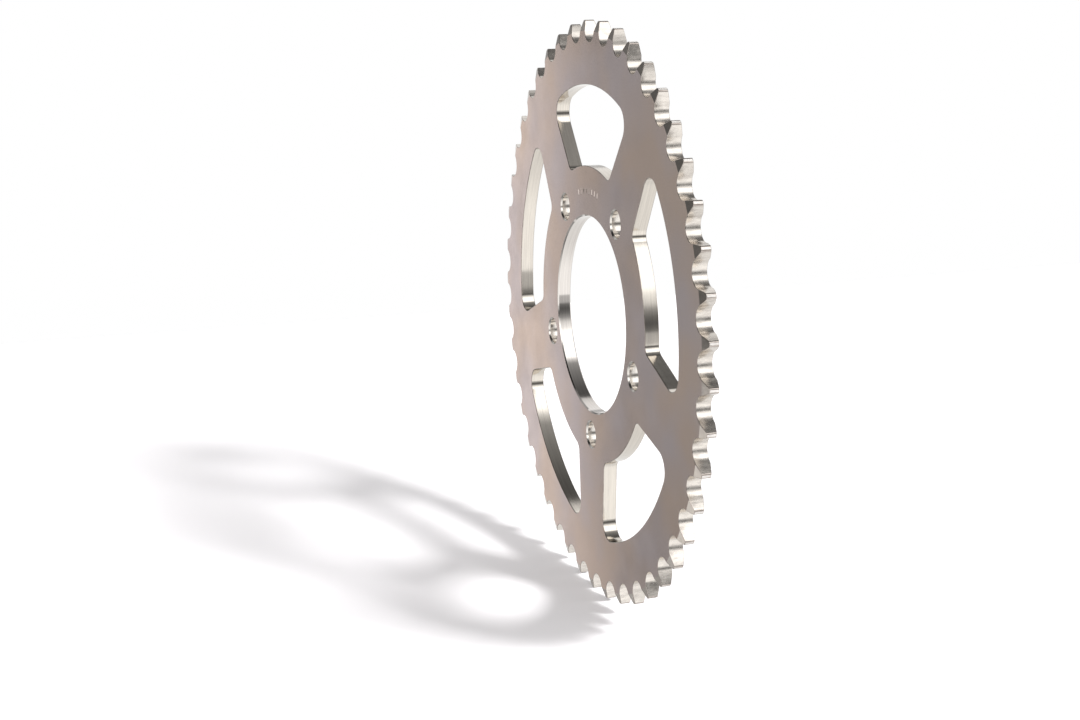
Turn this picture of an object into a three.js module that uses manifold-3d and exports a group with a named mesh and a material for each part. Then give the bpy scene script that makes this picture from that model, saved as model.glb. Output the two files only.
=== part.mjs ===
// Motorcycle rear sprocket: one flat steel plate with a ring of chain teeth, a bored centre, five bolt
// holes and five lightening windows.  Millimetres and degrees.
//
// The plate stands on its teeth.  The wheel axis is Y and the origin is the centre of the bore, half way
// through the plate.  The outer face looks along -Y and the hub face along +Y.  Every direction on the
// plate is an angle clockwise from straight up, as seen from the outer face.

import * as THREE from 'three';
import { mergeVertices } from 'three/addons/utils/BufferGeometryUtils.js';
import Module from 'manifold-3d';

// Plate
const thickness = 5.8;
const cutMargin = 1; // how far a cutter reaches past the face it cuts

// Chain and teeth
const toothCount = 45;
const chainPitch = 15.875; // five eighths of an inch
const seatRadius = 5.2; // the hollow that a roller of 10.16 mm sits in
const seatHalfAngle = 66.5; // from the bottom of the hollow to where the flank starts
const flankRadius = 57.3;
const tipRadius = 117;
const bevelStartRadius = 112.8; // both faces slope in from here, so that the side plates slide on
const bevelDepth = 1.05; // lost from each face at the tips

// Hub
const boreRadius = 40;
const boreChamfer = 0.5;
const boltCount = 5;
const boltCircleRadius = 50;
const boltHoleRadius = 5.25;
const boltHoleChamfer = 0.65;

// Windows, one between each two bolt holes
const windowInnerRadius = 60.1;
const windowOuterRadius = 92;
const windowInnerHalfAngle = 21.45; // where a straight side meets the inner arc
const windowOuterHalfAngle = 27.95; // where it meets the outer arc
const windowInnerFillet = 4;
const windowOuterFillet = 7;

// How the plate is turned as it stands
const firstBoltAngle = 33.3;
const firstToothAngle = 34.15;

// Smoothness
const seatSteps = 10;
const flankSteps = 2;
const innerArcSteps = 14;
const outerArcSteps = 20;
const filletSteps = 6;
const blankSegments = toothCount * 5;
const boreSegments = 120;
const boltHoleSegments = 36;

const wasm = await Module();
wasm.setup();

const radians = THREE.MathUtils.degToRad;
const pitchRadius = chainPitch / 2 / Math.sin(Math.PI / toothCount);
const toothStep = 360 / toothCount;
const boltStep = 360 / boltCount;

// A point on the plate: x to the right and y up, as seen from the outer face.
function platePoint(radius, angle) {
  return new THREE.Vector2(radius * Math.sin(radians(angle)), radius * Math.cos(radians(angle)));
}

// Points along an arc, by the clockwise-from-up angle of each end.
function arcPoints(centre, radius, startAngle, endAngle, steps) {
  const points = [];
  for (let i = 0; i <= steps; i += 1) {
    const angle = startAngle + ((endAngle - startAngle) * i) / steps;
    points.push(platePoint(radius, angle).add(centre));
  }
  return points;
}

// The clockwise-from-up angle of the direction from one point to another.
function directionAngle(from, to) {
  return THREE.MathUtils.radToDeg(Math.atan2(to.x - from.x, to.y - from.y));
}

// Where the circle about `centre` meets the circle about the origin, on the side further anticlockwise.
function meetOriginCircle(centre, radius, originRadius) {
  const distance = centre.length();
  const along = (distance ** 2 + originRadius ** 2 - radius ** 2) / (2 * distance);
  const across = Math.sqrt(originRadius ** 2 - along ** 2);
  const outward = centre.clone().normalize();
  const sideways = new THREE.Vector2(outward.y, -outward.x);
  return outward.clone().multiplyScalar(along).addScaledVector(sideways, -across);
}

// Mirrors a list of points left to right and puts the mirrored half in front of it.
function withMirroredHalf(rightHalf) {
  const leftHalf = rightHalf.map((point) => new THREE.Vector2(-point.x, point.y)).reverse();
  return leftHalf.slice(0, -1).concat(rightHalf);
}

function turned(points, angle) {
  return points.map((point) => point.clone().rotateAround(new THREE.Vector2(), -radians(angle)));
}

// One gap between two teeth, pointing straight up: the roller seat and the flank on each side of it.
function toothGap() {
  const seatCentre = new THREE.Vector2(0, pitchRadius);
  const seat = arcPoints(seatCentre, seatRadius, 180, 180 - seatHalfAngle, seatSteps / 2);
  const flankStart = seat.at(-1);
  const intoTooth = flankStart.clone().sub(seatCentre).normalize();
  const flankCentre = flankStart.clone().addScaledVector(intoTooth, flankRadius);
  const flankEnd = meetOriginCircle(flankCentre, flankRadius, tipRadius);
  const startAngle = directionAngle(flankCentre, flankStart);
  const endAngle = startAngle + flankTurn(flankCentre, flankStart, flankEnd);
  const flank = arcPoints(flankCentre, flankRadius, startAngle, endAngle, flankSteps);
  return withMirroredHalf(seat.concat(flank.slice(1)));
}

// The angle between the two ends of a flank, seen from its centre, turning clockwise.
function flankTurn(centre, start, end) {
  const turn = directionAngle(centre, end) - directionAngle(centre, start);
  return THREE.MathUtils.euclideanModulo(turn + 180, 360) - 180;
}

function toothedOutline() {
  const gap = toothGap();
  const points = [];
  for (let i = 0; i < toothCount; i += 1) {
    points.push(...turned(gap, firstToothAngle + (i + 0.5) * toothStep));
  }
  return points;
}

// One window, pointing straight up.  Each straight side runs from the inner arc to the outer arc, and a
// fillet that touches both rounds each corner.
function windowOutline() {
  const sideStart = platePoint(windowInnerRadius, windowInnerHalfAngle);
  const sideEnd = platePoint(windowOuterRadius, windowOuterHalfAngle);
  const alongSide = sideEnd.clone().sub(sideStart).normalize();
  const intoWindow = new THREE.Vector2(-alongSide.y, alongSide.x);

  // The fillet centre: one fillet radius in from the side, at a given distance from the bore centre.
  function filletCentre(fillet, distance) {
    const foot = sideStart.clone().addScaledVector(intoWindow, fillet);
    const reach = foot.dot(alongSide);
    return foot.addScaledVector(alongSide, Math.sqrt(reach ** 2 - foot.lengthSq() + distance ** 2) - reach);
  }

  const origin = new THREE.Vector2();
  const sideAngle = directionAngle(intoWindow, origin);
  const innerCentre = filletCentre(windowInnerFillet, windowInnerRadius + windowInnerFillet);
  const outerCentre = filletCentre(windowOuterFillet, windowOuterRadius - windowOuterFillet);
  const innerAngle = directionAngle(origin, innerCentre);
  const outerAngle = directionAngle(origin, outerCentre);
  const rightHalf = [
    ...arcPoints(origin, windowInnerRadius, 0, innerAngle, innerArcSteps / 2).slice(0, -1),
    ...arcPoints(innerCentre, windowInnerFillet, innerAngle + 180, sideAngle, filletSteps),
    ...arcPoints(outerCentre, windowOuterFillet, sideAngle, outerAngle, filletSteps),
    ...arcPoints(origin, windowOuterRadius, outerAngle, 0, outerArcSteps / 2).slice(1),
  ];
  return withMirroredHalf(rightHalf).slice(0, -1);
}

function solidFrom(geometry) {
  geometry.deleteAttribute('normal');
  geometry.deleteAttribute('uv');
  const merged = mergeVertices(geometry, 1e-5);
  const vertProperties = new Float32Array(merged.attributes.position.array);
  const triVerts = new Uint32Array(merged.index.array);
  return new wasm.Manifold(new wasm.Mesh({ numProp: 3, vertProperties, triVerts }));
}

// A flat outline made `depth` thick, centred on the plate's middle plane.
function slab(outline, depth) {
  const geometry = new THREE.ExtrudeGeometry(new THREE.Shape(outline), { depth, bevelEnabled: false });
  geometry.rotateX(Math.PI / 2);
  geometry.translate(0, depth / 2, 0);
  return solidFrom(geometry);
}

function toothedPlate() {
  return slab(toothedOutline(), thickness);
}

// The disc that the teeth are cut from.  Its faces slope down towards the rim, and it is thicker than the
// plate inside the bevels, so that the plate's own faces are left as they are.
function turnedBlank() {
  const slope = bevelDepth / (tipRadius - bevelStartRadius);
  const middleHalf = thickness / 2 + cutMargin;
  const middleRadius = bevelStartRadius - cutMargin / slope;
  const rimRadius = tipRadius + cutMargin;
  const rimHalf = thickness / 2 - slope * (rimRadius - bevelStartRadius);
  const profile = [
    new THREE.Vector2(0, -middleHalf),
    new THREE.Vector2(middleRadius, -middleHalf),
    new THREE.Vector2(rimRadius, -rimHalf),
    new THREE.Vector2(rimRadius, rimHalf),
    new THREE.Vector2(middleRadius, middleHalf),
    new THREE.Vector2(0, middleHalf),
  ];
  return solidFrom(new THREE.LatheGeometry(profile, blankSegments));
}

// A round cutter with a 45 degree chamfer where it leaves each face.
function chamferedCutter(radius, chamfer, segments, centre) {
  const wall = thickness / 2 - chamfer;
  const mouth = thickness / 2 + cutMargin;
  const mouthRadius = radius + chamfer + cutMargin;
  const profile = [
    new THREE.Vector2(0, -mouth),
    new THREE.Vector2(mouthRadius, -mouth),
    new THREE.Vector2(radius, -wall),
    new THREE.Vector2(radius, wall),
    new THREE.Vector2(mouthRadius, mouth),
    new THREE.Vector2(0, mouth),
  ];
  const geometry = new THREE.LatheGeometry(profile, segments);
  geometry.translate(centre.x, 0, centre.y);
  return solidFrom(geometry);
}

function boreCutter() {
  return chamferedCutter(boreRadius, boreChamfer, boreSegments, new THREE.Vector2());
}

function boltHoleCutter(index) {
  const centre = platePoint(boltCircleRadius, firstBoltAngle + index * boltStep);
  return chamferedCutter(boltHoleRadius, boltHoleChamfer, boltHoleSegments, centre);
}

function windowCutter(index) {
  const angle = firstBoltAngle + (index + 0.5) * boltStep;
  return slab(turned(windowOutline(), angle), thickness + 2 * cutMargin);
}

function sprocketPlateSolid() {
  let plate = toothedPlate().intersect(turnedBlank());
  plate = plate.subtract(boreCutter());
  for (let i = 0; i < boltCount; i += 1) {
    plate = plate.subtract(boltHoleCutter(i));
    plate = plate.subtract(windowCutter(i));
  }
  return plate;
}

function geometryFrom(solid) {
  const mesh = solid.getMesh();
  const geometry = new THREE.BufferGeometry();
  geometry.setAttribute('position', new THREE.BufferAttribute(new Float32Array(mesh.vertProperties), 3));
  geometry.setIndex(new THREE.BufferAttribute(new Uint32Array(mesh.triVerts), 1));
  geometry.computeVertexNormals();
  return geometry;
}

// Ground and barrel-finished steel, slightly warm in colour.
function satinSteel() {
  return new THREE.MeshStandardMaterial({ color: 0xa39b95, roughness: 0.38, metalness: 1 });
}

function sprocketPlate() {
  const mesh = new THREE.Mesh(geometryFrom(sprocketPlateSolid()), satinSteel());
  mesh.name = 'sprocket_plate';
  return mesh;
}

const rearSprocket = new THREE.Group();
rearSprocket.name = 'rear_sprocket';
rearSprocket.add(sprocketPlate());

export default rearSprocket;
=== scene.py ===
"""Looks for the rear sprocket: one steel plate, standing on its teeth on a pale studio floor.

The plate is rebuilt here from the same driving dimensions as the CAD part, with smooth arcs, softened
edges, chamfers and stamped ticks.  The plate's lengths are millimetres until its vertices are written, and
the studio's and the materials' are metres.  Every direction on the plate is an angle in degrees clockwise
from straight up, as seen from the outer face (-Y).
"""

import math

import bpy
import numpy as np
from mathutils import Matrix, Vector, geometry


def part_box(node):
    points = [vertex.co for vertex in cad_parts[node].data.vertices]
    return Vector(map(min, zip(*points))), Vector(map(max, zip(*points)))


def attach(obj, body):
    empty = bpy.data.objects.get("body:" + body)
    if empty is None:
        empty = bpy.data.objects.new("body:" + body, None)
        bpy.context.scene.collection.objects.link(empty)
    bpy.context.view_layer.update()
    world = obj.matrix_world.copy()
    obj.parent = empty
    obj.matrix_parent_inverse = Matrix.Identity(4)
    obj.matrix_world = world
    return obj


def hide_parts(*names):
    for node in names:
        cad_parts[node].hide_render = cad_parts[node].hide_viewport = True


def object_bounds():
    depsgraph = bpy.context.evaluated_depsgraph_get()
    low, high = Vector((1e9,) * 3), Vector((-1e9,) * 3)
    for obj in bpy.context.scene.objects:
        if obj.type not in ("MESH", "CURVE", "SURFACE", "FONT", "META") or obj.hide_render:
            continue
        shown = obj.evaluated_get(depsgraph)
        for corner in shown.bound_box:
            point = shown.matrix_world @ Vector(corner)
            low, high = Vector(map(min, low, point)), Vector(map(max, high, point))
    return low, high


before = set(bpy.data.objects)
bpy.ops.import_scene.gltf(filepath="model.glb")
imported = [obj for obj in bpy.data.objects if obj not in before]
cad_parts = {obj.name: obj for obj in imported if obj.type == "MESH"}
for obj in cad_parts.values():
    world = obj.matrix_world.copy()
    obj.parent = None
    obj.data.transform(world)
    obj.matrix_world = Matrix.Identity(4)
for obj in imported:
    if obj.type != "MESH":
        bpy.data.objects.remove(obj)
cad_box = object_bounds()

MM = 0.001
MICRON = 0.000001
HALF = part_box("sprocket_plate")[1].y / MM  # half the plate's thickness

# Teeth, as in the CAD part
TOOTH_COUNT = 45
CHAIN_PITCH = 15.875
SEAT_RADIUS = 5.2
SEAT_HALF_ANGLE = 66.5
FLANK_RADIUS = 57.3
TIP_RADIUS = 117.0
TIP_CORNER = 0.75
BEVEL_START = 112.8
BEVEL_DEPTH = 1.05
BEVEL_SLOPE = BEVEL_DEPTH / (TIP_RADIUS - BEVEL_START)

# Hub and windows, as in the CAD part
BORE_RADIUS = 40.0
BORE_CHAMFER = 0.5
BOLT_COUNT = 5
BOLT_CIRCLE = 50.0
BOLT_HOLE_RADIUS = 5.25
BOLT_HOLE_CHAMFER = 0.65
WINDOW_INNER = 60.1
WINDOW_OUTER = 92.0
WINDOW_INNER_HALF_ANGLE = 21.45
WINDOW_OUTER_HALF_ANGLE = 27.95
WINDOW_INNER_FILLET = 4.0
WINDOW_OUTER_FILLET = 7.0
FIRST_BOLT_ANGLE = 33.3
FIRST_TOOTH_ANGLE = 34.15

# Softened edges and the stamped ticks
TOOTH_EDGE = 0.2
WINDOW_EDGE = 0.3
CHAMFER_EDGE = 0.05
TICK_CIRCLE = 50.0
TICK_DEPTH = 0.28
TICK_HALF_WIDTH = 0.42
TICK_HALF_LENGTH = 1.3
TICK_ANGLES = (-17.0, -13.4, -9.8, -6.2, -2.6, 1.0, 4.6, 8.2)

# How finely curves are drawn, in points on an arc or steps round a circle
INNER_ARC_POINTS = 19
INNER_FILLET_POINTS = 13
OUTER_FILLET_POINTS = 15
OUTER_ARC_POINTS = 25
TICK_END_POINTS = 9
BORE_STEPS = 240
BOLT_HOLE_STEPS = 64

# How close two lengths have to be to count as the same
BEVEL_SLACK = 0.02
MERGE_DISTANCE = 1e-7

# Which material a part of the surface wears, in the order that the materials are added to the mesh
FACE, BEVEL, EDGE, LAND, FLANK, WINDOW, BORE, BOLT_HOLE = range(8)

PITCH_RADIUS = CHAIN_PITCH / 2 / math.sin(math.pi / TOOTH_COUNT)
TOOTH_STEP = 360 / TOOTH_COUNT
BOLT_STEP = 360 / BOLT_COUNT
ORIGIN = np.zeros(2)


# ---------------------------------------------------------------- outlines

def direction(angle):
    """The unit vector, or vectors, pointing at an angle clockwise from up."""
    turn = np.radians(angle)
    return np.stack([np.sin(turn), np.cos(turn)], axis=-1)


def angle_of(vector):
    return math.degrees(math.atan2(vector[0], vector[1]))


def arc(centre, radius, angles, hollow=False):
    """Points on an arc, with the normals that point out of the steel: towards the centre if hollow."""
    outward = direction(np.asarray(angles, float))
    return centre + radius * outward, -outward if hollow else outward


def joined(*stretches):
    """Stretches of outline put end to end; where two meet, only the first one's end point is kept."""
    points = [stretches[0][0]]
    normals = [stretches[0][1]]
    for stretch_points, stretch_normals in stretches[1:]:
        points.append(stretch_points[1:])
        normals.append(stretch_normals[1:])
    return np.concatenate(points), np.concatenate(normals)


def turned(outline, angle):
    sin, cos = math.sin(math.radians(angle)), math.cos(math.radians(angle))
    matrix = np.array([[cos, -sin], [sin, cos]])
    return outline[0] @ matrix, outline[1] @ matrix


def with_mirrored_half(right_half):
    """A right half and its mirror image, in one outline that runs clockwise about the plate."""
    flip = np.array([-1, 1])
    points, normals = right_half
    left_half = (points[::-1] * flip, normals[::-1] * flip)
    return joined(left_half, right_half)


def circles_meet(centre, radius, origin_radius):
    """Where a circle meets one about the origin, on the side further anticlockwise."""
    distance = np.linalg.norm(centre)
    along = (distance**2 + origin_radius**2 - radius**2) / (2 * distance)
    across = math.sqrt(origin_radius**2 - along**2)
    outward = centre / distance
    return outward * along - np.array([outward[1], -outward[0]]) * across


class ToothForm:
    """One gap between two teeth, pointing up, and how its points are shared out.

    The right half runs from the bottom of the roller seat, up the flank, round the softened corner of the
    tip and along the tip to the middle of the tooth.  One flank point lies where the bevel starts.
    """

    seat_steps = 12
    lower_flank_steps = 3
    upper_flank_steps = 5
    corner_steps = 4
    tip_steps = 2

    def __init__(self):
        seat_centre = np.array([0, PITCH_RADIUS])
        seat_end_angle = 180 - SEAT_HALF_ANGLE
        seat_angles = np.linspace(180, seat_end_angle, self.seat_steps + 1)
        seat = arc(seat_centre, SEAT_RADIUS, seat_angles, hollow=True)
        flank_centre = seat_centre + (SEAT_RADIUS + FLANK_RADIUS) * direction(seat_end_angle)

        corner_reach = FLANK_RADIUS - TIP_CORNER
        corner_centre = circles_meet(flank_centre, corner_reach, TIP_RADIUS - TIP_CORNER)
        bevel_point = circles_meet(flank_centre, FLANK_RADIUS - TOOTH_EDGE, BEVEL_START)
        start = seat_end_angle - 180
        bevel = angle_of(bevel_point - flank_centre)
        end = angle_of(corner_centre - flank_centre)
        lower = np.linspace(start, bevel, self.lower_flank_steps + 1)
        upper = np.linspace(bevel, end, self.upper_flank_steps + 1)
        flank = arc(flank_centre, FLANK_RADIUS, np.concatenate([lower, upper[1:]]))

        tip_start = angle_of(corner_centre)
        corner = arc(corner_centre, TIP_CORNER, np.linspace(end, tip_start, self.corner_steps + 1))
        tip = arc(ORIGIN, TIP_RADIUS, np.linspace(tip_start, TOOTH_STEP / 2, self.tip_steps + 1))
        self.right_half = joined(seat, flank, corner, tip)
        self.half_count = len(self.right_half[0]) - 1
        self.bevel_index = self.seat_steps + self.lower_flank_steps
        flank_end = self.bevel_index + self.upper_flank_steps
        half_materials = [FLANK] * flank_end + [EDGE] * self.corner_steps + [LAND] * self.tip_steps
        self.gap_materials = half_materials[::-1] + half_materials


def toothed_outline(form):
    """The whole rim.  It starts at the middle of a tooth, and each gap adds the same number of points."""
    gap_points, gap_normals = with_mirrored_half(form.right_half)
    gap = (gap_points[:-1], gap_normals[:-1])
    gaps = [turned(gap, FIRST_TOOTH_ANGLE + (i + 0.5) * TOOTH_STEP) for i in range(TOOTH_COUNT)]
    return np.concatenate([g[0] for g in gaps]), np.concatenate([g[1] for g in gaps])


def window_outline(angle):
    """One window: inner arc, straight sides that narrow the ribs outwards, outer arc, rounded corners."""
    side_start = WINDOW_INNER * direction(WINDOW_INNER_HALF_ANGLE)
    side_end = WINDOW_OUTER * direction(WINDOW_OUTER_HALF_ANGLE)
    along = (side_end - side_start) / np.linalg.norm(side_end - side_start)
    into_window = np.array([-along[1], along[0]])

    def fillet_centre(fillet, distance):
        foot = side_start + fillet * into_window
        reach = foot @ along
        return foot + along * (math.sqrt(reach**2 - foot @ foot + distance**2) - reach)

    inner_centre = fillet_centre(WINDOW_INNER_FILLET, WINDOW_INNER + WINDOW_INNER_FILLET)
    outer_centre = fillet_centre(WINDOW_OUTER_FILLET, WINDOW_OUTER - WINDOW_OUTER_FILLET)
    inner_angle = angle_of(inner_centre)
    outer_angle = angle_of(outer_centre)
    side_angle = angle_of(-into_window)
    inner = arc(ORIGIN, WINDOW_INNER, np.linspace(0, inner_angle, INNER_ARC_POINTS))
    inner_corner_angles = np.linspace(inner_angle + 180, side_angle, INNER_FILLET_POINTS)
    inner_corner = arc(inner_centre, WINDOW_INNER_FILLET, inner_corner_angles, hollow=True)
    outer_corner_angles = np.linspace(side_angle, outer_angle, OUTER_FILLET_POINTS)
    outer_corner = arc(outer_centre, WINDOW_OUTER_FILLET, outer_corner_angles, hollow=True)
    side = (
        np.array([inner_corner[0][-1], outer_corner[0][0]]),
        np.array([inner_corner[1][-1], outer_corner[1][0]]),
    )
    outer_angles = np.linspace(outer_angle, 0, OUTER_ARC_POINTS)
    outer = arc(ORIGIN, WINDOW_OUTER, outer_angles, hollow=True)
    points, normals = with_mirrored_half(joined(inner, inner_corner, side, outer_corner, outer))
    return turned((points[:-1], normals[:-1]), angle)


def circle_outline(centre, radius, steps):
    return arc(centre, radius, np.arange(steps) * 360 / steps, hollow=True)


def tick_outline(angle):
    """A short round-ended groove, standing across the circle that the ticks are stamped on."""
    straight = TICK_HALF_LENGTH - TICK_HALF_WIDTH
    top_angles = np.linspace(-90, 90, TICK_END_POINTS)
    foot_angles = np.linspace(90, 270, TICK_END_POINTS)
    top = arc(np.array([0, straight]), TICK_HALF_WIDTH, top_angles, hollow=True)
    foot = arc(np.array([0, -straight]), TICK_HALF_WIDTH, foot_angles, hollow=True)
    points = np.concatenate([top[0], foot[0]]) + np.array([0, TICK_CIRCLE])
    return turned((points, np.concatenate([top[1], foot[1]])), angle)


# ---------------------------------------------------------------- edge profiles

def rounded_edge(size, steps=3):
    """Stations from a face to a wall: (distance in from the wall, depth below the face, normal's turn)."""
    stations = []
    for turn in np.linspace(0, 90, steps + 1):
        sin = math.sin(math.radians(turn))
        cos = math.cos(math.radians(turn))
        stations.append((size * (1 - sin), size * (1 - cos), turn))
    return stations


def chamfered_edge(size):
    """A 45 degree chamfer whose two corners are themselves slightly rounded."""
    near = CHAMFER_EDGE * math.sqrt(0.5)
    return [
        (size + CHAMFER_EDGE, 0, 0),
        (size - near, near, 45),
        (near, size - near, 45),
        (0, size + CHAMFER_EDGE, 90),
    ]


def stamped_edge():
    """From the face over a narrow lip and down a steep side to the floor of a stamped tick."""
    lip_start = 0.08
    lip_depth = 0.06
    side_top = -0.02
    side_foot = -0.1
    side_turn = 55
    foot_rise = 0.03
    floor_start = -0.14
    return [
        (lip_start, 0, 0),
        (side_top, lip_depth, side_turn),
        (side_foot, TICK_DEPTH - foot_rise, side_turn),
        (floor_start, TICK_DEPTH, 0),
    ]


# ---------------------------------------------------------------- mesh

class Surface:
    """Vertices and faces, with a normal for every corner of every face."""

    def __init__(self):
        self.vertices = []
        self.faces = []
        self.corner_normals = []
        self.face_materials = []

    def add_points(self, points, heights):
        first = len(self.vertices)
        self.vertices.extend((p[0], h, p[1]) for p, h in zip(points, heights))
        return list(range(first, len(self.vertices)))

    def add_face(self, indices, normals, material):
        """Adds a face, wound so that it looks the way its corner normals do."""
        corners = np.array([self.vertices[i] for i in indices])
        newell = np.cross(corners, np.roll(corners, -1, axis=0)).sum(axis=0)
        normals = list(normals)
        if newell @ np.sum(normals, axis=0) < 0:
            indices = indices[::-1]
            normals = normals[::-1]
        self.faces.append(indices)
        self.corner_normals.append(normals)
        self.face_materials.append(material)

    def add_ladder(self, rows, row_normals, material):
        """Quads between neighbouring closed rows.  row_normals(row, i, quad) gives one corner's normal.

        The material is one for all, or a list with one for each step along the rows.
        """
        count = len(rows[0])
        materials = np.broadcast_to(material, count).tolist()
        for row in range(len(rows) - 1):
            for i in range(count):
                following = (i + 1) % count
                indices = [rows[row][i], rows[row][following], rows[row + 1][following], rows[row + 1][i]]
                normals = [
                    row_normals(row, i, i),
                    row_normals(row, following, i),
                    row_normals(row + 1, following, i),
                    row_normals(row + 1, i, i),
                ]
                self.add_face(indices, normals, materials[i])

    def to_mesh(self, name):
        mesh = bpy.data.meshes.new(name)
        mesh.from_pydata([Vector(v) * MM for v in self.vertices], [], self.faces)
        mesh.polygons.foreach_set("material_index", self.face_materials)
        mesh.polygons.foreach_set("use_smooth", [True] * len(self.faces))
        mesh.update()
        corners = [Vector(n).normalized() for normals in self.corner_normals for n in normals]
        mesh.normals_split_custom_set(corners)
        return mesh


def height_at(radius):
    """How far a face stands from the middle plane: less beyond the start of the bevel."""
    return HALF - BEVEL_SLOPE * np.maximum(radius - BEVEL_START, 0)


def face_normal(side, point, bevelled):
    """The normal of the outer face (side -1) or hub face (side 1), or of its bevel, at a point."""
    if not bevelled:
        return np.array([0, side, 0])
    outward = point / np.linalg.norm(point)
    normal = np.array([BEVEL_SLOPE * outward[0], side, BEVEL_SLOPE * outward[1]])
    return normal / np.linalg.norm(normal)


def add_edge(surface, outline, side, stations, material):
    """The softened edge along an outline on one face.  Returns its rows, from the face to the wall."""
    points, normals = outline
    rows = []
    row_points = []
    for inset, depth, _ in stations:
        moved = points - inset * normals
        heights = side * (height_at(np.linalg.norm(moved, axis=1)) - depth)
        rows.append(surface.add_points(moved, heights))
        row_points.append(moved)
    ahead = np.roll(row_points[0], -1, axis=0)
    middles = (row_points[0] + ahead) / 2
    bevelled = np.linalg.norm(middles, axis=1) > BEVEL_START - BEVEL_SLACK

    def corner_normal(row, i, quad):
        turn = math.radians(stations[row][2])
        flat = face_normal(side, row_points[row][i], bevelled[quad])
        wall = np.array([normals[i][0], 0, normals[i][1]])
        return math.cos(turn) * flat + math.sin(turn) * wall

    surface.add_ladder(rows, corner_normal, material)
    return rows


def add_through_cut(surface, outline, stations, wall_material, edge_material):
    """A wall that goes right through the plate, with a softened edge on both faces.

    Returns the row of vertices on each face, by side.
    """
    points, normals = outline
    face_rows = {}
    wall_rows = {}
    for side in (-1, 1):
        rows = add_edge(surface, outline, side, stations, edge_material)
        face_rows[side] = rows[0]
        wall_rows[side] = rows[-1]

    def wall_normal(row, i, quad):
        return np.array([normals[i][0], 0, normals[i][1]])

    surface.add_ladder([wall_rows[-1], wall_rows[1]], wall_normal, wall_material)
    return face_rows


def add_tooth_bevels(surface, form, rim_row, side):
    """The sloping facet on one face of every tooth.  Returns the rim of the flat face inside them."""
    gap_count = 2 * form.half_count
    crossing = form.bevel_index
    levels = form.upper_flank_steps
    flat_rim = []
    for tooth in range(TOOTH_COUNT):
        # The flat face's rim follows this tooth's gap, from one bevel to the next.
        gap_middle = tooth * gap_count + form.half_count
        flat_rim += [rim_row[(gap_middle + j) % len(rim_row)] for j in range(-crossing, crossing + 1)]

        first = gap_middle + crossing
        chain_count = 2 * (form.half_count - crossing) + 1
        chain = [rim_row[(first + j) % len(rim_row)] for j in range(chain_count)]
        top = chain[levels:chain_count - levels]
        rows = []
        for level in range(levels):
            left, right = chain[level], chain[chain_count - 1 - level]
            rows.append([left] + add_cone_points(surface, left, right, len(top) - 2, side) + [right])
        rows.append(top)
        flat_rim += rows[0][1:-1]
        for lower, upper in zip(rows, rows[1:]):
            for i in range(len(top) - 1):
                indices = [lower[i], lower[i + 1], upper[i + 1], upper[i]]
                corners = [np.array(surface.vertices[k])[[0, 2]] for k in indices]
                surface.add_face(indices, [face_normal(side, c, True) for c in corners], BEVEL)
    return flat_rim


def add_cone_points(surface, left, right, count, side):
    """Points across one tooth between two rim vertices, on the arc through them about the wheel axis."""
    ends = [np.array(surface.vertices[k])[[0, 2]] for k in (left, right)]
    radius = np.linalg.norm(ends[0])
    start = angle_of(ends[0])
    sweep = (angle_of(ends[1]) - start + 180) % 360 - 180
    angles = start + sweep * np.arange(1, count + 1) / (count + 1)
    points = radius * direction(angles)
    return surface.add_points(points, np.full(count, side * height_at(radius)))


def inside(points, loop):
    """Which points lie inside a closed loop, by counting crossings."""
    found = np.zeros(len(points), bool)
    start = loop
    end = np.roll(loop, -1, axis=0)
    for (x0, z0), (x1, z1) in zip(start, end):
        spans = (z0 > points[:, 1]) != (z1 > points[:, 1])
        if z0 != z1:
            found ^= spans & (points[:, 0] < (x1 - x0) * (points[:, 1] - z0) / (z1 - z0) + x0)
    return found


def add_flat_face(surface, rim, holes, side):
    """Fills the flat face between its rim and the holes in it with triangles."""
    loops = [rim] + holes
    indices = [i for loop in loops for i in loop]
    points = np.array([surface.vertices[i] for i in indices])[:, [0, 2]]
    edges = []
    first = 0
    for loop in loops:
        edges += [(first + i, first + (i + 1) % len(loop)) for i in range(len(loop))]
        first += len(loop)
    corners, _, triangles, originals, _, _ = geometry.delaunay_2d_cdt(
        [Vector(p) for p in points], edges, [], 0, MERGE_DISTANCE
    )
    sources = [indices[o[0]] for o in originals]
    middles = np.array([np.mean([corners[k] for k in t], axis=0) for t in triangles])
    kept = inside(middles, points[:len(rim)])
    first = len(rim)
    for hole in holes:
        kept &= ~inside(middles, points[first:first + len(hole)])
        first += len(hole)
    normal = np.array([0, side, 0])
    for keep, triangle in zip(kept, triangles):
        if keep:
            surface.add_face([sources[k] for k in triangle], [normal] * 3, FACE)


def add_ticks(surface):
    """The stamped ticks on the outer face.  Returns their rows of vertices on that face."""
    rims = []
    for angle in TICK_ANGLES:
        rows = add_edge(surface, tick_outline(angle), -1, stamped_edge(), FACE)
        rims.append(rows[0])
        surface.add_face(rows[-1], [np.array([0, -1, 0])] * len(rows[-1]), FACE)
    return rims


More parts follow.
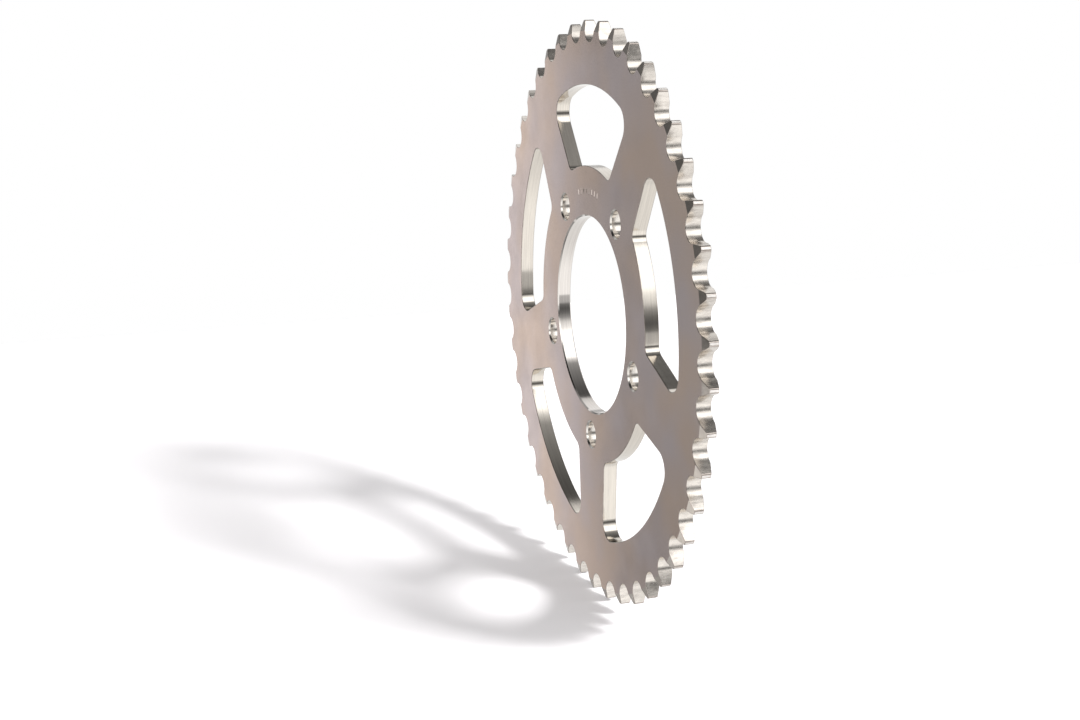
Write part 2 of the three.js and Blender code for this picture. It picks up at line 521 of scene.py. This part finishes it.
def sprocket_mesh():
    surface = Surface()
    form = ToothForm()
    rim_materials = form.gap_materials * TOOTH_COUNT
    rims = add_through_cut(surface, toothed_outline(form), rounded_edge(TOOTH_EDGE), rim_materials, EDGE)
    holes = {-1: add_ticks(surface), 1: []}
    bore = circle_outline(ORIGIN, BORE_RADIUS, BORE_STEPS)
    cuts = [add_through_cut(surface, bore, chamfered_edge(BORE_CHAMFER), BORE, BORE)]
    for i in range(BOLT_COUNT):
        bolt_angle = FIRST_BOLT_ANGLE + i * BOLT_STEP
        bolt_centre = BOLT_CIRCLE * direction(bolt_angle)
        bolt_hole = circle_outline(bolt_centre, BOLT_HOLE_RADIUS, BOLT_HOLE_STEPS)
        bolt_edge = chamfered_edge(BOLT_HOLE_CHAMFER)
        cuts.append(add_through_cut(surface, bolt_hole, bolt_edge, BOLT_HOLE, BOLT_HOLE))
        window = window_outline(bolt_angle + BOLT_STEP / 2)
        cuts.append(add_through_cut(surface, window, rounded_edge(WINDOW_EDGE), WINDOW, EDGE))
    for side in (-1, 1):
        flat_rim = add_tooth_bevels(surface, form, rims[side], side)
        add_flat_face(surface, flat_rim, holes[side] + [cut[side] for cut in cuts], side)
    return surface.to_mesh("sprocket_plate_fine")


# ---------------------------------------------------------------- materials

class Nodes:
    """A short way to write a material's node tree."""

    def __init__(self, name):
        self.material = bpy.data.materials.new(name)
        self.material.use_nodes = True
        self.tree = self.material.node_tree
        self.shader = self.tree.nodes["Principled BSDF"]
        self.place = self.tree.nodes.new("ShaderNodeTexCoord").outputs["Object"]

    def add(self, kind, inputs=None, **settings):
        node = self.tree.nodes.new(kind)
        for name, value in settings.items():
            setattr(node, name, value)
        for name, value in (inputs or {}).items():
            if isinstance(value, bpy.types.NodeSocket):
                self.tree.links.new(value, node.inputs[name])
            else:
                node.inputs[name].default_value = value
        return node

    def noise(self, scale, detail=2.0, roughness=0.5, stretch=None):
        """Noise in metres of the object's own space; stretch scales each axis first."""
        place = self.place
        if stretch is not None:
            place = self.add("ShaderNodeMapping", {"Vector": place, "Scale": stretch}).outputs["Vector"]
        inputs = {"Vector": place, "Scale": scale, "Detail": detail, "Roughness": roughness}
        return self.add("ShaderNodeTexNoise", inputs).outputs["Fac"]

    def remap(self, value, low, high, out_low, out_high):
        inputs = {"Value": value, "From Min": low, "From Max": high, "To Min": out_low, "To Max": out_high}
        return self.add("ShaderNodeMapRange", inputs).outputs["Result"]

    def mix(self, factor, first, second):
        node = self.add("ShaderNodeMix", data_type="RGBA")
        self.tree.links.new(factor, node.inputs["Factor"])
        for socket, value in ((node.inputs[6], first), (node.inputs[7], second)):
            if isinstance(value, bpy.types.NodeSocket):
                self.tree.links.new(value, socket)
            else:
                socket.default_value = (*value, 1)
        return node.outputs[2]

    def bump(self, height, distance, strength=1.0, under=None):
        node = self.add("ShaderNodeBump", {"Height": height, "Distance": distance, "Strength": strength})
        if under is not None:
            self.tree.links.new(under, node.inputs["Normal"])
        return node.outputs["Normal"]

    def link(self, value, socket):
        self.tree.links.new(value, self.shader.inputs[socket])


def face_steel():
    """The satin faces: barrel-finished steel with a fine grain and faint warm and cool patches."""
    nodes = Nodes("face_steel")
    nodes.shader.inputs["Metallic"].default_value = 1.0
    patches = nodes.remap(nodes.noise(24, detail=2, roughness=0.5), 0.38, 0.62, 0, 1)
    base = nodes.mix(patches, (0.60, 0.50, 0.425), (0.55, 0.51, 0.52))
    speckle = nodes.remap(nodes.noise(1500, detail=2, roughness=0.6), 0.3, 0.7, 0, 0.3)
    nodes.link(nodes.mix(speckle, base, (0.64, 0.58, 0.54)), "Base Color")
    nodes.shader.inputs["Specular Tint"].default_value = (1.0, 0.885, 0.85, 1)
    nodes.link(nodes.remap(nodes.noise(60, detail=4, roughness=0.65), 0.3, 0.7, 0.1, 0.14), "Roughness")
    grain = nodes.bump(nodes.noise(2600, detail=3, roughness=0.7), 2 * MICRON)
    nodes.link(nodes.bump(nodes.noise(420, detail=3, roughness=0.6), 2 * MICRON, under=grain), "Normal")
    return nodes.material


def bevel_steel():
    """The turned facets on the teeth."""
    nodes = Nodes("bevel_steel")
    nodes.shader.inputs["Metallic"].default_value = 1.0
    stain = nodes.remap(nodes.noise(90, detail=3, roughness=0.6), 0.35, 0.7, 0, 1)
    nodes.link(nodes.mix(stain, (0.58, 0.52, 0.46), (0.48, 0.44, 0.405)), "Base Color")
    nodes.link(nodes.remap(nodes.noise(700, detail=2, roughness=0.6), 0.3, 0.7, 0.14, 0.22), "Roughness")
    nodes.link(nodes.bump(nodes.noise(1200, detail=3, roughness=0.7), 8 * MICRON), "Normal")
    return nodes.material


def edge_steel():
    """The softened edges: rubbed bright in the finishing drum, with darker stretches between."""
    nodes = Nodes("edge_steel")
    nodes.shader.inputs["Metallic"].default_value = 1.0
    wear = nodes.remap(nodes.noise(240, detail=3, roughness=0.7), 0.4, 0.75, 0, 1)
    nodes.link(nodes.mix(wear, (0.42, 0.37, 0.335), (0.62, 0.57, 0.525)), "Base Color")
    nodes.shader.inputs["Roughness"].default_value = 0.13
    return nodes.material


def land_steel():
    """The tips of the teeth: the turned rim of the blank, left matt and slightly coarse."""
    nodes = Nodes("land_steel")
    nodes.shader.inputs["Metallic"].default_value = 0.4
    stain = nodes.remap(nodes.noise(500, detail=3, roughness=0.6), 0.35, 0.7, 0, 1)
    nodes.link(nodes.mix(stain, (0.68, 0.655, 0.625), (0.54, 0.51, 0.48)), "Base Color")
    nodes.shader.inputs["Roughness"].default_value = 0.5
    coarseness = nodes.noise(300, detail=2, roughness=0.6, stretch=(1, 12, 1))
    nodes.link(nodes.bump(coarseness, 20 * MICRON), "Normal")
    return nodes.material


def flank_steel():
    """The cut sides of the teeth: milky steel, with ripples and blotches left by chatter of the cutter."""
    nodes = Nodes("flank_steel")
    nodes.shader.inputs["Metallic"].default_value = 1.0
    blotches = nodes.remap(nodes.noise(750, detail=3, roughness=0.65, stretch=(1, 0.25, 1)), 0.44, 0.66, 0, 1)
    nodes.link(nodes.mix(blotches, (0.77, 0.72, 0.66), (0.60, 0.555, 0.51)), "Base Color")
    nodes.link(nodes.remap(nodes.noise(420, detail=3, roughness=0.6), 0.3, 0.7, 0.2, 0.34), "Roughness")
    ripples = nodes.bump(nodes.noise(900, detail=2, roughness=0.6, stretch=(1, 0.12, 1)), 20 * MICRON)
    nodes.link(nodes.bump(nodes.noise(700, detail=3, roughness=0.7), 6 * MICRON, under=ripples), "Normal")
    return nodes.material


def window_steel():
    """The window walls: pale, with fine lines from the cutter that run along each wall."""
    nodes = Nodes("window_steel")
    nodes.shader.inputs["Metallic"].default_value = 1.0
    lines = nodes.remap(nodes.noise(45, detail=4, roughness=0.75, stretch=(1, 32, 1)), 0.38, 0.66, 0, 1)
    nodes.link(nodes.mix(lines, (0.71, 0.66, 0.59), (0.61, 0.565, 0.51)), "Base Color")
    nodes.link(nodes.remap(nodes.noise(150, detail=3, roughness=0.6), 0.3, 0.7, 0.07, 0.12), "Roughness")
    nodes.link(nodes.bump(lines, 8 * MICRON), "Normal")
    return nodes.material


def bore_steel():
    """The bore: smoother than the rest, with the faintest of turning lines."""
    nodes = Nodes("bore_steel")
    nodes.shader.inputs["Metallic"].default_value = 1.0
    lines = nodes.remap(nodes.noise(30, detail=3, roughness=0.7, stretch=(1, 60, 1)), 0.4, 0.66, 0, 1)
    nodes.link(nodes.mix(lines, (0.72, 0.68, 0.64), (0.64, 0.60, 0.565)), "Base Color")
    nodes.link(nodes.remap(nodes.noise(150, detail=3, roughness=0.6), 0.3, 0.7, 0.06, 0.1), "Roughness")
    nodes.link(nodes.bump(lines, 5 * MICRON), "Normal")
    return nodes.material


def bolt_hole_steel():
    """The drilled bolt holes: duller than the bore, with rings from the drill."""
    nodes = Nodes("bolt_hole_steel")
    nodes.shader.inputs["Metallic"].default_value = 1.0
    rings = nodes.remap(nodes.noise(30, detail=3, roughness=0.7, stretch=(1, 60, 1)), 0.4, 0.66, 0, 1)
    nodes.link(nodes.mix(rings, (0.76, 0.72, 0.67), (0.66, 0.62, 0.575)), "Base Color")
    nodes.link(nodes.remap(nodes.noise(200, detail=3, roughness=0.6), 0.3, 0.7, 0.14, 0.2), "Roughness")
    nodes.link(nodes.bump(rings, 3 * MICRON), "Normal")
    return nodes.material


# ---------------------------------------------------------------- object

def add_sprocket():
    mesh = sprocket_mesh()
    makers = (
        face_steel,
        bevel_steel,
        edge_steel,
        land_steel,
        flank_steel,
        window_steel,
        bore_steel,
        bolt_hole_steel,
    )
    for maker in makers:
        mesh.materials.append(maker())
    sprocket = bpy.data.objects.new("sprocket_plate_fine", mesh)
    bpy.context.scene.collection.objects.link(sprocket)
    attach(sprocket, "root")
    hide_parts("sprocket_plate")


# ---------------------------------------------------------------- studio

FLOOR_X = (-0.5, 1.6)
FLOOR_Y = (-0.45, 1.5)
FLOOR_LEVEL = cad_box[0][2]


def add_floor():
    """A pale floor.  The metal doesn't reflect it, because the world's bands stand in for it there."""
    mesh = bpy.data.meshes.new("floor")
    corners = [(x, y, FLOOR_LEVEL) for x, y in zip(FLOOR_X + FLOOR_X[::-1], np.repeat(FLOOR_Y, 2))]
    mesh.from_pydata(corners, [], [(0, 1, 2, 3)])
    floor = bpy.data.objects.new("floor", mesh)
    bpy.context.scene.collection.objects.link(floor)
    nodes = Nodes("pale_floor")
    nodes.shader.inputs["Base Color"].default_value = (0.9, 0.88, 0.895, 1)
    nodes.shader.inputs["Roughness"].default_value = 0.9
    nodes.shader.inputs["Specular IOR Level"].default_value = 0.0
    nodes.shader.inputs["Emission Color"].default_value = (1, 1, 1, 1)
    nodes.shader.inputs["Emission Strength"].default_value = 0.09
    mesh.materials.append(nodes.material)
    floor.visible_glossy = False


def add_area_light(name, towards, distance, size, power):
    """A square light that looks at the bore centre.  The metal doesn't reflect it either."""
    data = bpy.data.lights.new(name, "AREA")
    data.size = size
    data.energy = power
    light = bpy.data.objects.new(name, data)
    bpy.context.scene.collection.objects.link(light)
    light.location = Vector(towards).normalized() * distance
    light.rotation_euler = (-light.location).to_track_quat("-Z", "Y").to_euler()
    light.visible_glossy = False


# How bright the studio is round the wheel axis, as the metal reflects it.  The angle is in degrees up from
# the camera's side: below 0 lies a pale table, then a dark gap, a wide softbox, a dark ceiling and, from
# about 130 round to 180 and on below it, a pale wall and floor behind.
AROUND_AXIS = (
    (-180, 0.7), (-175, 1.1), (-168, 1.03), (-163, 1.08), (-158, 0.98), (-130, 0.95), (-84, 0.98),
    (-66, 1.08), (-46, 1.26), (-12.5, 1.3), (-11.5, 0.64), (-3, 0.6), (-1.5, 0.22), (4, 0.12), (9, 0.18),
    (15, 0.4), (20, 0.95), (27, 1.3), (32, 1.9), (63, 1.9), (67, 0.9), (72, 0.38), (84, 0.25), (96, 0.18),
    (108, 0.12), (121, 0.1), (127, 0.14), (131.5, 0.8), (142, 1.0), (163, 1.05), (169, 0.5), (180, 0.7),
)

# How that is dimmed along the axis, by the Y of the direction: beyond the object, the outer face's side is
# mostly dim, with a bright strip near -0.3 and a bright end.  On the camera's side nothing is dimmed, and
# the change comes between two values of X.
ALONG_AXIS = (
    (-1.0, 0.85), (-0.93, 0.85), (-0.85, 0.11), (-0.76, 0.16), (-0.7, 0.26), (-0.58, 0.3), (-0.48, 0.44),
    (-0.38, 0.42), (-0.355, 0.4), (-0.33, 0.22), (-0.313, 1.0), (-0.28, 1.2), (-0.262, 0.44), (-0.1, 0.4),
    (-0.05, 0.9), (0.0, 1.0), (1.0, 1.0),
)
LIT_FROM_X = (-0.15, 0.25)

# A pale card low down in front, which only the lower teeth reflect: its direction, and the cosines of the
# angles from its middle at which it ends and at which it is fully bright.
CARD_TOWARDS = (-0.62, -0.67, -0.42)
CARD_COSINES = (0.977, 0.986)
CARD_LEVEL = 1.05


class WorldNodes:
    """A short way to write the world's node tree."""

    def __init__(self, name):
        world = bpy.data.worlds.new(name)
        bpy.context.scene.world = world
        world.use_nodes = True
        self.tree = world.node_tree
        self.tree.nodes.clear()

    def add(self, kind, **settings):
        node = self.tree.nodes.new(kind)
        for name, value in settings.items():
            setattr(node, name, value)
        return node

    def link(self, source, target):
        self.tree.links.new(source, target)

    def levels(self, value, stops):
        """A ramp from (value, level) pairs.  Returns the level as a share of the highest one."""
        first, last = stops[0][0], stops[-1][0]
        top = max(level for _, level in stops)
        share = self.add("ShaderNodeMapRange")
        self.link(value, share.inputs["Value"])
        share.inputs["From Min"].default_value = first
        share.inputs["From Max"].default_value = last
        ramp = self.add("ShaderNodeValToRGB")
        self.link(share.outputs["Result"], ramp.inputs["Fac"])
        elements = ramp.color_ramp.elements
        while len(elements) < len(stops):
            elements.new(0.5)
        for element, (at, level) in zip(elements, stops):
            element.position = (at - first) / (last - first)
            element.color = (level / top, level / top, level / top, 1)
        return ramp.outputs["Color"], top


def studio_bands(nodes, towards):
    """The bands round the wheel axis, dimmed along it, as a background shader."""
    axes = nodes.add("ShaderNodeSeparateXYZ")
    nodes.link(towards, axes.inputs[0])
    around = nodes.add("ShaderNodeMath", operation="ARCTAN2")
    nodes.link(axes.outputs["Z"], around.inputs[0])
    nodes.link(axes.outputs["X"], around.inputs[1])
    in_degrees = nodes.add("ShaderNodeMath", operation="DEGREES")
    nodes.link(around.outputs[0], in_degrees.inputs[0])
    bands, band_top = nodes.levels(in_degrees.outputs[0], AROUND_AXIS)
    dimming, dimming_top = nodes.levels(axes.outputs["Y"], ALONG_AXIS)
    lit = nodes.add("ShaderNodeMapRange", interpolation_type="SMOOTHSTEP")
    nodes.link(axes.outputs["X"], lit.inputs["Value"])
    lit.inputs["From Min"].default_value = LIT_FROM_X[0]
    lit.inputs["From Max"].default_value = LIT_FROM_X[1]
    undimmed = nodes.add("ShaderNodeMix", data_type="RGBA")
    nodes.link(lit.outputs["Result"], undimmed.inputs["Factor"])
    nodes.link(dimming, undimmed.inputs[6])
    undimmed.inputs[7].default_value = (1 / dimming_top, 1 / dimming_top, 1 / dimming_top, 1)
    both = nodes.add("ShaderNodeVectorMath", operation="MULTIPLY")
    nodes.link(bands, both.inputs[0])
    nodes.link(undimmed.outputs[2], both.inputs[1])
    studio = nodes.add("ShaderNodeBackground")
    nodes.link(both.outputs[0], studio.inputs["Color"])
    studio.inputs["Strength"].default_value = band_top * dimming_top
    return studio.outputs[0]


def studio_card(nodes, towards):
    """The pale card, as a background shader that is black away from it."""
    nearness = nodes.add("ShaderNodeVectorMath", operation="DOT_PRODUCT")
    nodes.link(towards, nearness.inputs[0])
    nearness.inputs[1].default_value = Vector(CARD_TOWARDS).normalized()
    card_edge = nodes.add("ShaderNodeMapRange", interpolation_type="SMOOTHSTEP")
    nodes.link(nearness.outputs["Value"], card_edge.inputs["Value"])
    card_edge.inputs["From Min"].default_value = CARD_COSINES[0]
    card_edge.inputs["From Max"].default_value = CARD_COSINES[1]
    card_edge.inputs["To Max"].default_value = CARD_LEVEL
    card = nodes.add("ShaderNodeBackground")
    nodes.link(card_edge.outputs["Result"], card.inputs["Strength"])
    return card.outputs[0]


def add_world():
    """A studio that lights the scene and shows in the metal; the camera sees a plain white backdrop."""
    nodes = WorldNodes("studio")
    towards = nodes.add("ShaderNodeTexCoord").outputs["Generated"]
    reflected = nodes.add("ShaderNodeAddShader")
    nodes.link(studio_bands(nodes, towards), reflected.inputs[0])
    nodes.link(studio_card(nodes, towards), reflected.inputs[1])
    backdrop = nodes.add("ShaderNodeBackground")
    backdrop.inputs["Color"].default_value = (1, 1, 1, 1)
    rays = nodes.add("ShaderNodeLightPath")
    chosen = nodes.add("ShaderNodeMixShader")
    nodes.link(rays.outputs["Is Camera Ray"], chosen.inputs[0])
    nodes.link(reflected.outputs[0], chosen.inputs[1])
    nodes.link(backdrop.outputs[0], chosen.inputs[2])
    output = nodes.add("ShaderNodeOutputWorld")
    nodes.link(chosen.outputs[0], output.inputs["Surface"])


# The camera stands 0.68 m away, 70 degrees round from the outer face and 13 degrees up.  It looks a little
# to one side of the bore, so the way that it is turned is given apart from its place.
CAMERA_PLACE = (0.61822, -0.22727, 0.15737)
CAMERA_AZIMUTH = 71.81
CAMERA_ELEVATION = 15.01
SENSOR_WIDTH = 36
FOCAL_LENGTH = 55.71
NEAREST_SEEN = 0.01


def add_camera():
    data = bpy.data.cameras.new("camera")
    data.sensor_width = SENSOR_WIDTH
    data.lens = FOCAL_LENGTH
    data.clip_start = NEAREST_SEEN
    camera = bpy.data.objects.new("camera", data)
    bpy.context.scene.collection.objects.link(camera)
    camera.location = CAMERA_PLACE
    elevation = math.radians(CAMERA_ELEVATION)
    camera.rotation_euler = (math.pi / 2 - elevation, 0, math.radians(CAMERA_AZIMUTH))
    bpy.context.scene.camera = camera


add_sprocket()
add_floor()
add_world()
add_area_light("key", towards=(0.85, 0.75, 1.0), distance=4.0, size=0.75, power=180)
add_camera()
bpy.context.scene.view_settings.view_transform = "Standard"
